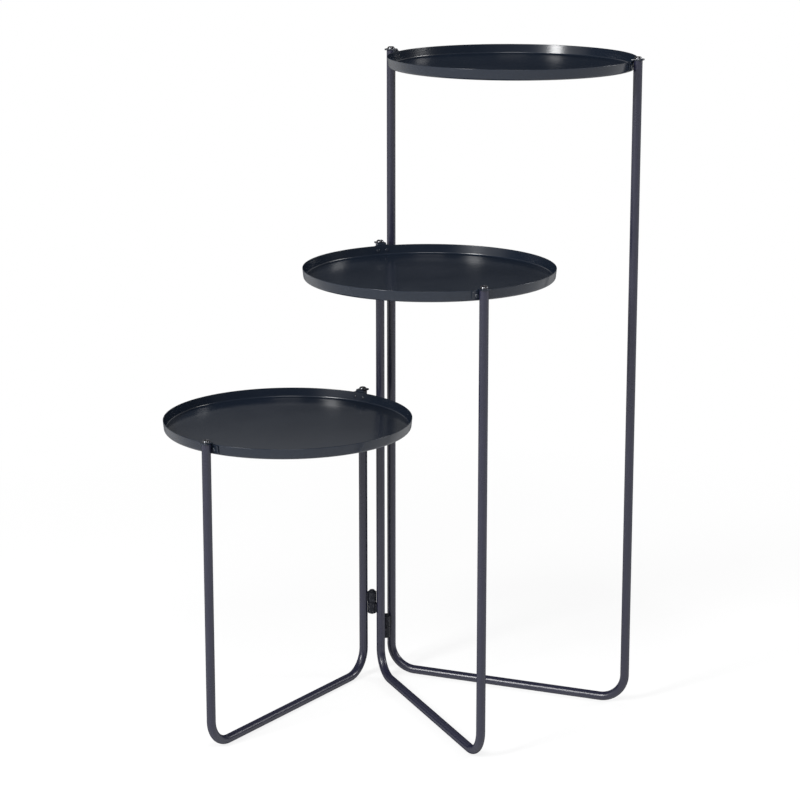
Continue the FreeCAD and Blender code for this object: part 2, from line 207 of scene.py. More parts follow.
class MaterialTree(NodeTree):
    """The shader tree of one material or of the world."""

    MATT_ROUGHNESS = 0.7
    FACING_BLEND = 0.5

    @classmethod
    def of_material(cls, name: str) -> tuple["MaterialTree", Material]:
        """Starts an empty material.

        Args:
            name: The material's name.

        Returns:
            The tree and the material.
        """
        material = bpy.data.materials.new(name)
        material.use_nodes = True
        material.node_tree.nodes.clear()
        return cls(material.node_tree), material

    def place(self) -> Signal:
        """The point on the surface, in the piece's own coordinates."""
        return self.node("ShaderNodeTexCoord", output="Object")

    def height(self) -> Signal:
        """The point's height above the floor."""
        return self.node("ShaderNodeSeparateXYZ", None, {0: self.place()}, "Z")

    def noise(self, grain: float, detail: float, roughness: float = 0.5) -> Signal:
        """Noise from 0 to 1.

        Args:
            grain: Size of one patch, in millimetres.
            detail: Number of finer layers.
            roughness: Strength of the finer layers.

        Returns:
            The noise's value.
        """
        sockets = {
            "Vector": self.place(), "Scale": 1.0 / (grain * MM),
            "Detail": detail, "Roughness": roughness,
        }
        return self.node("ShaderNodeTexNoise", None, sockets, 0)

    def ramp(self, value: Signal, stops: Stops) -> Signal:
        """A value passed through a grey ramp."""
        return self.node("ShaderNodeValToRGB", {"stops": stops}, {0: value})

    def blend(self, factor: Signal, first: Any, second: Any) -> Signal:
        """A colour between two, by a factor."""
        sockets = {0: factor, 6: first, 7: second}
        return self.node("ShaderNodeMix", {"data_type": "RGBA"}, sockets, 2)

    def shades(self, factor: Signal, colour: Colour, levels: Point) -> Signal:
        """A colour that runs between two levels of itself, by a factor."""
        return self.blend(factor, rgba(colour, levels[0]), rgba(colour, levels[1]))

    def bump(self, height: Signal, distance: float, strength: float) -> Signal:
        """A normal from a height field.

        Args:
            height: The height, from 0 to 1.
            distance: What a height of 1 stands for, in millimetres.
            strength: How much of it is used.

        Returns:
            The normal.
        """
        sockets = {"Height": height, "Distance": distance * MM, "Strength": strength}
        return self.node("ShaderNodeBump", None, sockets)

    def surface(self, sockets: dict[int | str, Any]) -> None:
        """Ends the tree in one Principled shader."""
        shader = self.node("ShaderNodeBsdfPrincipled", None, sockets)
        self.node("ShaderNodeOutputMaterial", None, {0: shader})

    def fading_gloss(self, sockets: dict[int | str, Any], full: float, none: float) -> None:
        """Ends the tree in a coat whose gloss fades where the surface turns away.

        Args:
            sockets: The inputs of the glossy shader; the matt one shares colour and normal.
            full: How far the surface may turn away, from 0 to 1, before the gloss fades.
            none: How far it has turned away where the gloss is gone.
        """
        glossy = self.node("ShaderNodeBsdfPrincipled", None, sockets)
        shared = {name: sockets[name] for name in ("Base Color", "Normal")}
        dull = {"Roughness": self.MATT_ROUGHNESS, "Specular IOR Level": 0.0}
        matt = self.node("ShaderNodeBsdfPrincipled", None, shared | dull)
        turned = self.node("ShaderNodeLayerWeight", None, {"Blend": self.FACING_BLEND}, "Facing")
        fade = ((turned - full) / (none - full)).most(0.0).least(1.0)
        mixed = self.node("ShaderNodeMixShader", None, {0: fade, 1: glossy, 2: matt})
        self.node("ShaderNodeOutputMaterial", None, {0: mixed})


def rgba(colour: Colour, level: float = 1.0) -> tuple[float, float, float, float]:
    """A colour with its alpha, made lighter or darker by a factor."""
    return (colour[0] * level, colour[1] * level, colour[2] * level, 1.0)


def in_scene(name: str, data: Any) -> Thing:
    """A new object with this data, linked to the scene."""
    thing = bpy.data.objects.new(name, data)
    bpy.context.scene.collection.objects.link(thing)
    return thing


def settled(thing: Thing) -> Mesh:
    """An object's mesh with its modifiers applied; the object itself goes."""
    graph = bpy.context.evaluated_depsgraph_get()
    mesh = bpy.data.meshes.new_from_object(thing.evaluated_get(graph), depsgraph=graph)
    thing.modifiers.clear()
    bpy.data.objects.remove(thing)
    return mesh


class GeometryTree(NodeTree):
    """A Geometry Nodes tree with named inputs, run once on a host mesh."""

    def __init__(self, name: str, inputs: dict[str, str]) -> None:
        """Starts a tree.

        Args:
            name: The tree's name.
            inputs: Kind of socket of each input, by name.
        """
        self.group = bpy.data.node_groups.new(name, "GeometryNodeTree")
        super().__init__(self.group)
        sockets = [("Geometry", "INPUT", "Geometry")]
        sockets += [(label, "INPUT", kind) for label, kind in inputs.items()]
        sockets += [("Geometry", "OUTPUT", "Geometry")]
        for label, way, kind in sockets:
            self.group.interface.new_socket(label, in_out=way, socket_type=f"NodeSocket{kind}")
        self._entry = self.group.nodes.new("NodeGroupInput")

    def given(self, label: str) -> Signal:
        """One of the tree's inputs."""
        return Signal(self, self._entry.outputs[label])

    def attribute(self, name: str, data_type: str) -> Signal:
        """A named attribute of the host's points."""
        settings = {"data_type": data_type}
        return self.node("GeometryNodeInputNamedAttribute", settings, {"Name": name})

    def joined(self, parts: Sequence[Signal]) -> Signal:
        """Several geometries as one."""
        node = self.group.nodes.new("GeometryNodeJoinGeometry")
        for part in parts:
            self.group.links.new(part.socket, node.inputs[0])
        return Signal(self, node.outputs[0])

    def end(self, geometry: Signal) -> None:
        """Realizes instances, sets the material and closes the tree."""
        real = self.node("GeometryNodeRealizeInstances", None, {0: geometry})
        sockets = {"Geometry": real, "Material": self.given("Material")}
        dressed = self.node("GeometryNodeSetMaterial", None, sockets)
        self.node("NodeGroupOutput", None, {0: dressed})

    def run(self, name: str, host_mesh: Mesh, values: dict[str, Any]) -> Mesh:
        """Runs the tree on a mesh.

        Args:
            name: Name of the result.
            host_mesh: The mesh that the tree starts from.
            values: Values of the inputs, by name.

        Returns:
            The result as a plain mesh.
        """
        host = in_scene(name + ".host", host_mesh)
        modifier = host.modifiers.new(name, "NODES")
        modifier.node_group = self.group
        for item in self.group.interface.items_tree:
            if item.in_out == "INPUT" and item.name in values:
                modifier[item.identifier] = values[item.name]
        mesh = settled(host)
        mesh.name = name
        return mesh


# ---- finishes


@dataclass(frozen=True)
class Finish:
    """The name, colour and roughness that every finish has."""

    name: str
    colour: Colour
    roughness: float


@dataclass(frozen=True)
class PowderCoat(Finish):
    """Semi-gloss powder coat: fine orange peel, slight clouding, rubbed spots at the floor."""

    peel_grain: float = 1.3
    peel_depth: float = 0.035
    peel_strength: float = 0.06
    peel_roughness: float = 0.05
    cloud_grain: float = 60.0
    cloud_levels: Point = (0.86, 1.16)
    cloud_roughness: float = 0.10
    dust_grain: float = 0.5
    dust_stops: Stops = ((0.70, 0.0), (0.78, 1.0))
    dust_share: float = 0.10
    dust_colour: Colour = (0.5, 0.5, 0.52)
    rub_height: float = 1.2
    rub_grain: float = 4.0
    rub_stops: Stops = ((0.52, 0.0), (0.62, 1.0))
    rub_share: float = 0.5
    rub_colour: Colour = (0.22, 0.22, 0.23)
    rub_roughness: float = 0.2
    specular: float = 0.5
    gloss_full: float = 0.35
    gloss_none: float = 0.80

    def make(self) -> Material:
        """Builds the material."""
        tree, material = MaterialTree.of_material(self.name)
        cloud = tree.noise(self.cloud_grain, 4.0)
        peel = tree.noise(self.peel_grain, 2.0)
        dust = tree.ramp(tree.noise(self.dust_grain, 1.0), self.dust_stops)
        low = tree.height() < self.rub_height * MM
        rubbed = low * tree.ramp(tree.noise(self.rub_grain, 5.0), self.rub_stops)
        clouded = tree.shades(cloud, self.colour, self.cloud_levels)
        dusted = tree.blend(dust * self.dust_share, clouded, rgba(self.dust_colour))
        worn = tree.blend(rubbed * self.rub_share, dusted, rgba(self.rub_colour))
        rough = self.roughness + (cloud - 0.5) * self.cloud_roughness
        rough = rough + (peel - 0.5) * self.peel_roughness + rubbed * self.rub_roughness
        tree.fading_gloss({
            "Base Color": worn,
            "Roughness": rough,
            "Specular IOR Level": self.specular,
            "Normal": tree.bump(peel, self.peel_depth, self.peel_strength),
        }, self.gloss_full, self.gloss_none)
        return material


@dataclass(frozen=True)
class HingeCoat(Finish):
    """Thick coat over a hinge and its welds: pitted, rougher, with small spatter on it. Its colour
    is darker than the frame's coat as painted shade between the tubes, and the spatter's lighter
    spots are painted glints.
    """

    specular: float = 0.20
    grit_grain: float = 0.8
    grit_levels: Point = (0.8, 1.4)
    grit_roughness: float = 0.3
    spatter_grain: float = 1.1
    spatter_stops: Stops = ((0.62, 0.0), (0.70, 1.0))
    # How far the spatter spots lighten towards their colour: painted glints.
    spatter_glint_share: float = 0.6
    spatter_rise: float = 0.8
    spatter_polish: float = 0.2
    spatter_glint_colour: Colour = (0.16, 0.16, 0.18)
    pit_depth: float = 0.25
    pit_strength: float = 0.6

    def make(self) -> Material:
        """Builds the material."""
        tree, material = MaterialTree.of_material(self.name)
        grit = tree.noise(self.grit_grain, 5.0, 0.65)
        spatter = tree.ramp(tree.noise(self.spatter_grain, 2.0), self.spatter_stops)
        tone = tree.shades(grit, self.colour, self.grit_levels)
        rough = self.roughness + (grit - 0.5) * self.grit_roughness
        relief = grit + spatter * self.spatter_rise
        # The base colour lightens on the spatter spots as painted glints; their rise and polish are
        # real relief and roughness.
        tree.surface({
            "Base Color": tree.blend(spatter * self.spatter_glint_share, tone, rgba(self.spatter_glint_colour)),
            "Roughness": rough - spatter * self.spatter_polish,
            "Specular IOR Level": self.specular,
            "Normal": tree.bump(relief, self.pit_depth, self.pit_strength),
        })
        return material


@dataclass(frozen=True)
class FastenerMetal(Finish):
    """Plated or blackened steel: a metal with faint mottling and fine scratches."""

    mottle_grain: float = 1.6
    mottle_levels: Point = (0.85, 1.12)
    mottle_roughness: float = 0.16
    scratch_grain: float = 0.25
    scratch_roughness: float = 0.08
    scratch_depth: float = 0.02
    scratch_strength: float = 0.3

    def make(self) -> Material:
        """Builds the material."""
        tree, material = MaterialTree.of_material(self.name)
        mottle = tree.noise(self.mottle_grain, 4.0)
        scratch = tree.noise(self.scratch_grain, 2.0, 0.7)
        rough = self.roughness + (mottle - 0.5) * self.mottle_roughness
        tree.surface({
            "Base Color": tree.shades(mottle, self.colour, self.mottle_levels),
            "Metallic": 1.0,
            "Roughness": rough + (scratch - 0.5) * self.scratch_roughness,
            "Normal": tree.bump(scratch, self.scratch_depth, self.scratch_strength),
        })
        return material


FRAME_COAT = PowderCoat("frame_powder_coat", (0.0130, 0.0135, 0.0290), 0.29)
TRAY_COAT = PowderCoat(
    "tray_powder_coat", (0.0080, 0.0122, 0.0210), 0.20, peel_grain=1.5, peel_depth=0.04,
    specular=0.42, gloss_full=0.60, gloss_none=1.0,
)
RIVET_COAT = PowderCoat(
    "rivet_powder_coat", (0.0125, 0.0165, 0.0255), 0.15, peel_strength=0.05, specular=0.7,
)
# The hinge coat's colour is darker than the frame coat's: painted shade between the tubes.
HINGE_COAT = HingeCoat("hinge_powder_coat", (0.0040, 0.0050, 0.0090), 0.50)
SCREW_BLACK = FastenerMetal("blackened_steel", (0.17, 0.172, 0.185), 0.20)
INSERT_ZINC = FastenerMetal("zinc_plate", (0.55, 0.55, 0.53), 0.30)


# ---- mesh drafts


def rounded_profile(
    corners: Sequence[Place], steps: int = ROUNDING_STEPS,
) -> list[Point]:
    """An open polyline whose inner corners are rounded.

    Args:
        corners: (x, y, radius) of each corner.
        steps: Chords in each rounding.

    Returns:
        The points of the line.
    """
    line: list[Point] = []
    for index, (x, y, radius) in enumerate(corners):
        if radius == 0 or index in (0, len(corners) - 1):
            line.append((x, y))
            continue
        corner = Vector((x, y))
        back = (Vector(corners[index - 1][:2]) - corner).normalized()
        ahead = (Vector(corners[index + 1][:2]) - corner).normalized()
        half = back.angle(ahead) / 2
        centre = corner + (back + ahead).normalized() * (radius / math.sin(half))
        first = corner + back * (radius / math.tan(half)) - centre
        last = corner + ahead * (radius / math.tan(half)) - centre
        turn = first.angle_signed(last)
        for k in range(steps + 1):
            spoke = first.copy()
            spoke.rotate(Matrix.Rotation(-turn * k / steps, 2))
            line.append((centre.x + spoke.x, centre.y + spoke.y))
    return line


def headed_pin(levels: Sequence[float], radii: Sequence[float]) -> list[Point]:
    """The outline of a round pin with a rounded tail and a rounded head.

    Args:
        levels: Heights of the tail's end, the tail's seat, the head's seat and the head's top.
        radii: Radii of the tail, the shank and the head.

    Returns:
        The outline, from axis to axis.
    """
    low, tail, head, high = levels
    tail_radius, shank_radius, head_radius = radii
    return rounded_profile([
        (0, low, 0),
        (tail_radius, low, (tail - low) * HEAD_ROUNDING),
        (tail_radius, tail, 0),
        (shank_radius, tail, 0),
        (shank_radius, head, 0),
        (head_radius, head, 0),
        (head_radius, high, (high - head) * HEAD_ROUNDING),
        (0, high, 0),
    ])


class Draft:
    """A mesh that is drawn in millimetres and finished in metres."""

    def __init__(self) -> None:
        """Starts an empty mesh."""
        self.mesh = bmesh.new()

    def lathe(
        self, profile: Sequence[Point], segments: int, place: Matrix, closed: bool = False,
    ) -> None:
        """Adds a turned solid.

        Args:
            profile: (radius, height) points, from axis to axis or round a closed loop.
            segments: Number of sides.
            place: Where the solid's axis and foot go.
            closed: Whether the profile is a closed loop clear of the axis.
        """
        rings = [self._ring(radius, height, segments, place) for radius, height in profile]
        pairs = list(zip(rings, rings[1:])) + ([(rings[-1], rings[0])] if closed else [])
        for lower, upper in pairs:
            self._bridge(lower, upper)

    def _ring(self, radius: float, height: float, segments: int, place: Matrix) -> Ring:
        """One ring of points, or a single point on the axis."""
        if radius < ON_AXIS:
            return [self.mesh.verts.new(place @ Vector((0, 0, height)))]
        turns = [2 * math.pi * k / segments for k in range(segments)]
        spots = [Vector((radius * math.cos(a), radius * math.sin(a), height)) for a in turns]
        return [self.mesh.verts.new(place @ spot) for spot in spots]

    def _bridge(self, lower: Ring, upper: Ring) -> None:
        """Faces between two rings, either of which may be a single point."""
        count = max(len(lower), len(upper))
        if count == 1:
            return
        for k in range(count):
            n = (k + 1) % count
            corners = [(lower, k), (lower, n), (upper, n), (upper, k)]
            face = list(dict.fromkeys(ring[index % len(ring)] for ring, index in corners))
            if len(face) > 2:
                self.mesh.faces.new(face)

    def loft(self, loops: Sequence[Sequence[Vector]], place: Matrix) -> None:
        """Adds a solid through closed loops of equal length, capped at both ends."""
        rows = [[self.mesh.verts.new(place @ point) for point in loop] for loop in loops]
        for lower, upper in zip(rows, rows[1:]):
            for k, vertex in enumerate(lower):
                n = (k + 1) % len(lower)
                self.mesh.faces.new([vertex, lower[n], upper[n], upper[k]])
        self.mesh.faces.new(list(reversed(rows[0])))
        self.mesh.faces.new(rows[-1])

    def path(self, points: Sequence[Vector], place: Matrix) -> None:
        """Adds a chain of edges."""
        chain = [self.mesh.verts.new(place @ point) for point in points]
        for first, second in zip(chain, chain[1:]):
            self.mesh.edges.new([first, second])

    def finished(self, name: str) -> Mesh:
        """Merges, turns the faces outwards and writes the mesh in metres."""
        bmesh.ops.remove_doubles(self.mesh, verts=self.mesh.verts, dist=MERGE_DISTANCE)
        bmesh.ops.recalc_face_normals(self.mesh, faces=self.mesh.faces)
        bmesh.ops.scale(self.mesh, vec=(MM, MM, MM), verts=self.mesh.verts)
        mesh = bpy.data.meshes.new(name)
        self.mesh.to_mesh(mesh)
        self.mesh.free()
        smooth(mesh)
        return mesh


def turned(
    name: str, profile: Sequence[Point], segments: int, place: Matrix, closed: bool = False,
) -> Mesh:
    """A turned solid as a finished mesh; the arguments are those of Draft.lathe."""
    draft = Draft()
    draft.lathe(profile, segments, place, closed)
    return draft.finished(name)


def smooth(mesh: Mesh) -> None:
    """Shades a mesh smooth, with sharp edges at steep angles."""
    if len(mesh.polygons):
        mesh.polygons.foreach_set("use_smooth", [True] * len(mesh.polygons))
        mesh.set_sharp_from_angle(angle=SMOOTH_ANGLE)


def put_up(
    name: str, mesh: Mesh, body: str, stands_for: Iterable[str] = (),
    material: Material | None = None,
) -> None:
    """Adds a finished piece to the scene and ties it to the frame.

    Args:
        name: The piece's name.
        mesh: Its mesh, in place.
        body: The body that it rides on.
        stands_for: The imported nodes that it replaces.
        material: Its material, where the mesh has none yet.
    """
    smooth(mesh)
    if material is not None:
        mesh.materials.clear()
        mesh.materials.append(material)
    piece = in_scene(name, mesh)
    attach(piece, body)
    nodes = list(stands_for)
    if nodes:
        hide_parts(*nodes)
    log.info("%s: %d faces on %s", name, len(mesh.polygons), body)


# ---- geometry trees


def bent_tube_tree() -> GeometryTree:
    """A hollow round tube along the host's path, bent at its corners, with eased ends.

    Returns:
        The tree. Its host is a chain of edges with a "bend" radius at each point.
    """
    tree = GeometryTree("bent_tube", {
        "Tube Radius": "Float", "Bore Radius": "Float", "End Scale": "Float",
        "Sides": "Int", "Bend Steps": "Int", "Material": "Material",
    })
    curve = tree.node("GeometryNodeMeshToCurve", None, {0: tree.given("Geometry")})
    bent = tree.node("GeometryNodeFilletCurve", {"mode": "POLY"}, {
        "Curve": curve, "Count": tree.given("Bend Steps"),
        "Radius": tree.attribute("bend", "FLOAT"), "Limit Radius": True,
    })
    shells = []
    for label, scale in (("Tube Radius", tree.given("End Scale")), ("Bore Radius", 1.0)):
        reach = {"Start Size": 1, "End Size": 1}
        ends = tree.node("GeometryNodeCurveEndpointSelection", None, reach)
        choice = {0: ends, 1: 1.0, 2: scale}
        size = tree.node("GeometryNodeSwitch", {"input_type": "FLOAT"}, choice)
        path = tree.node("GeometryNodeSetCurveRadius", None, {"Curve": bent, "Radius": size})
        ring = tree.node("GeometryNodeCurvePrimitiveCircle", {"mode": "RADIUS"}, {
            "Resolution": tree.given("Sides"), "Radius": tree.given(label),
        })
        shells.append(tree.node("GeometryNodeCurveToMesh", None, {
            "Curve": path, "Profile Curve": ring, "Scale": size,
        }))
    bore = tree.node("GeometryNodeFlipFaces", None, {0: shells[1]})
    tree.end(tree.joined([shells[0], bore]))
    return tree


def fastener_tree() -> GeometryTree:
    """Copies of one fastener on the host's points, aimed along their "axis" and turned by chance.

    Returns:
        The tree.
    """
    tree = GeometryTree("fasteners", {
        "Fastener": "Object", "Turn": "Float", "Seed": "Int", "Material": "Material",
    })
    settings = {"transform_space": "ORIGINAL"}
    fastener = tree.node("GeometryNodeObjectInfo", settings, {
        "Object": tree.given("Fastener"), "As Instance": True,
    }, "Geometry")
    aim = tree.node("FunctionNodeAlignRotationToVector", {"axis": "Z"}, {
        "Vector": tree.attribute("axis", "FLOAT_VECTOR"),
    })
    spin = tree.node("FunctionNodeRandomValue", {"data_type": "FLOAT"}, {
        2: 0.0, 3: tree.given("Turn"), "Seed": tree.given("Seed"),
    }, 1)
    about = tree.node("ShaderNodeCombineXYZ", None, {"Z": spin})
    local = {"rotation_space": "LOCAL"}
    aimed = tree.node("FunctionNodeRotateRotation", local, {0: aim, 1: about})
    copies = tree.node("GeometryNodeInstanceOnPoints", None, {
        "Points": tree.given("Geometry"), "Instance": fastener, "Rotation": aimed,
    })
    tree.end(copies)
    return tree


# A weld bead's rings and sides, its tips and ends, and the size and level of its lumps
BEAD_RINGS = 72
BEAD_SIDES = 20
BEAD_TIP = 0.02
TAPER_POWER = 6.0
LUMP_SCALE = 700.0
LUMP_MIDDLE = 0.6


def weld_bead_tree() -> GeometryTree:
    """A rippled weld bead along each of the host's edges.

    Returns:
        The tree.
    """
    tree = GeometryTree("weld_bead", {
        "Bead Radius": "Float", "Ripples": "Float", "Ripple Depth": "Float",
        "Lump Depth": "Float", "Seed": "Float", "Material": "Material",
    })
    curve = tree.node("GeometryNodeMeshToCurve", None, {0: tree.given("Geometry")})
    count = {"Curve": curve, "Count": BEAD_RINGS}
    fine = tree.node("GeometryNodeResampleCurve", {"mode": "COUNT"}, count)
    along = tree.node("GeometryNodeSplineParameter", output="Factor")
    wave = (along * tree.given("Ripples") * math.pi).sine().size()
    swell = 1.0 - tree.given("Ripple Depth") * (1.0 - wave)
    centred = (along * 2.0 - 1.0).size()
    taper = (1.0 - centred ** TAPER_POWER).most(BEAD_TIP) ** 0.5
    size = swell * taper
    ring = tree.node("GeometryNodeCurvePrimitiveCircle", {"mode": "RADIUS"}, {
        "Resolution": BEAD_SIDES, "Radius": tree.given("Bead Radius"),
    })
    path = tree.node("GeometryNodeSetCurveRadius", None, {"Curve": fine, "Radius": size})
    bead = tree.node("GeometryNodeCurveToMesh", None, {
        "Curve": path, "Profile Curve": ring, "Scale": size, "Fill Caps": True,
    })
    lumps = tree.node("ShaderNodeTexNoise", {"noise_dimensions": "4D"}, {
        "W": tree.given("Seed"), "Scale": LUMP_SCALE, "Detail": 2.0,
    }, 0)
    normal = tree.node("GeometryNodeInputNormal")
    push = (lumps - LUMP_MIDDLE) * tree.given("Lump Depth")
    offset = tree.node("ShaderNodeVectorMath", {"operation": "SCALE"}, {0: normal, "Scale": push})
    tree.end(tree.node("GeometryNodeSetPosition", None, {"Geometry": bead, "Offset": offset}))
    return tree


@dataclass(frozen=True)
class Workshop:
    """The materials and geometry trees that the sub-assemblies share."""

    frame_coat: Material
    tray_coat: Material
    rivet_coat: Material
    hinge_coat: Material
    screw_black: Material
    insert_zinc: Material
    tube: GeometryTree
    fasteners: GeometryTree
    bead: GeometryTree

    @classmethod
    def fitted_out(cls) -> "Workshop":
        """Makes every material and tree once."""
        return cls(
            FRAME_COAT.make(), TRAY_COAT.make(), RIVET_COAT.make(), HINGE_COAT.make(),
            SCREW_BLACK.make(), INSERT_ZINC.make(),
            bent_tube_tree(), fastener_tree(), weld_bead_tree(),
        )


# ---- sub-assemblies


@dataclass(frozen=True)
class Station:
    """Where one tier stands, read from the frame; drawn with the tray's axis at the origin.

    Local Z = 0 is the level of the tube ends, and local +X points to the outer upright.
    """

    tier: str
    azimuth: float

    @property
    def body(self) -> str:
        """The body that the tier belongs to."""
        return f"{self.tier}_tier"

    @property
    def top(self) -> float:
        """Height of the tube ends, in millimetres."""
        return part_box(f"{self.tier}_frame")[1].z / MM

    @property
    def place(self) -> Matrix:
        """From the tier's own frame to the stand's, in millimetres."""
        low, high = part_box(f"{self.tier}_tray")
        centre = (low + high) / 2 / MM
        turn = Matrix.Rotation(math.radians(self.azimuth), 4, "Z")
        return Matrix.Translation((centre.x, centre.y, self.top)) @ turn

    def node(self, piece: str) -> str:
        """The name of one of the tier's nodes."""
        return f"{self.tier}_{piece}"


@dataclass
class SubAssembly:
    """Something that a tier carries, made in the shop and placed at the tier's station."""

    shop: Workshop
    station: Station

    def put_up(
        self, mesh: Mesh, slot: Slot, node: str, material: Material | None = None,
    ) -> None:
        """Puts up a mesh, under its own name, in place of one of the tier's nodes."""
        nodes = [self.station.node(node)]
        put_up(mesh.name, mesh, self.station.body, nodes, material)


@dataclass
class TubeFrame(SubAssembly):
    """The bent tube: two uprights and a floor bar."""

    width: float = FRAME_WIDTH
    tube_radius: float = TUBE_RADIUS
    bore_radius: float = 4.0
    bend_radius: float = 30.0
    end_chamfer: float = 0.6
    sides: int = 48
    bend_steps: int = 28

    def upright(self, side: Side) -> Vector:
        """The foot of an upright's axis at tube-end level, in the stand's frame."""
        return self.station.place @ Vector((side.value * self.width / 2, 0, 0))

    def build(self) -> None:
        """Makes the tube."""
        half = self.width / 2
        floor = self.tube_radius - self.station.top
        ease = -self.end_chamfer
        points = [
            (-half, 0, 0), (-half, 0, ease), (-half, 0, floor),
            (half, 0, floor), (half, 0, ease), (half, 0, 0),
        ]
        draft = Draft()
        draft.path([Vector(point) for point in points], self.station.place)
        host = draft.finished("tube_path")
        bends = [0.0, 0.0, self.bend_radius * MM, self.bend_radius * MM, 0.0, 0.0]
        host.attributes.new("bend", "FLOAT", "POINT").data.foreach_set("value", bends)
        mesh = self.shop.tube.run(self.station.node("tube"), host, {
            "Tube Radius": self.tube_radius * MM,
            "Bore Radius": self.bore_radius * MM,
            "End Scale": 1 - self.end_chamfer / self.tube_radius,
            "Sides": self.sides,
            "Bend Steps": self.bend_steps,
            "Material": self.shop.frame_coat,
        })
        self._close_ends(mesh)
        self.put_up(mesh, Slot.FRAMES, "frame")

    def _close_ends(self, mesh: Mesh) -> None:
        """Joins the tube's outer and bore edges with a flat ring at both ends."""
        work = bmesh.new()
        work.from_mesh(mesh)
        open_edges = [edge for edge in work.edges if edge.is_boundary]
        middle = self.station.place @ Vector((0, 0, 0)) * MM
        along = self.upright(Side.OUTER) * MM - middle
        for sign in (-1, 1):
            ring = [
                edge for edge in open_edges
                if sign * (edge.verts[0].co - middle).dot(along) > 0
            ]
            bmesh.ops.bridge_loops(work, edges=ring)
        bmesh.ops.recalc_face_normals(work, faces=work.faces)
        work.to_mesh(mesh)
        work.free()


@dataclass
class PressedTray(SubAssembly):
    """The shallow round tray: a slightly crowned floor, a low drafted wall, a rounded edge."""

    radius: float = 140.0
    depth: float = 12.0
    sheet: float = 1.0
    draft: float = 6.0
    floor_radius: float = 3.0
    rim_drop: float = 1.4
    edge_radius: float = 0.42
    crown: float = 0.8
    crown_rings: int = 8
    crown_reach: float = 0.9
    segments: int = 288

    @property
    def slope(self) -> float:
        """How far the wall leans in for each millimetre of drop."""
        return math.tan(math.radians(self.draft))

    def build(self) -> None:
        """Makes the tray."""
        rim = -self.rim_drop
        wall = self.sheet / math.cos(math.radians(self.draft))
        floor = rim - self.depth + self.sheet
        foot = self.radius - self.depth * self.slope
        inner_foot = self.radius - (self.depth - self.sheet) * self.slope - wall
        rings = range(self.crown_rings + 1)
        shares = [self.crown_reach * ring / self.crown_rings for ring in rings]
        rise = [(foot * share, self.crown * (1 - share ** 2)) for share in shares]
        below = [(radius, rim - self.depth + lift, 0) for radius, lift in rise]
        above = [(radius, floor + lift, 0) for radius, lift in reversed(rise)]
        corners = below + [
            (foot, rim - self.depth, self.floor_radius),
            (self.radius, rim, self.edge_radius),
            (self.radius - wall, rim, self.edge_radius),
            (inner_foot, floor, self.floor_radius - self.sheet),
        ] + above
        name = self.station.node("pressed_tray")
        mesh = turned(name, rounded_profile(corners), self.segments, self.station.place)
        self.put_up(mesh, Slot.TRAYS, "tray", self.shop.tray_coat)


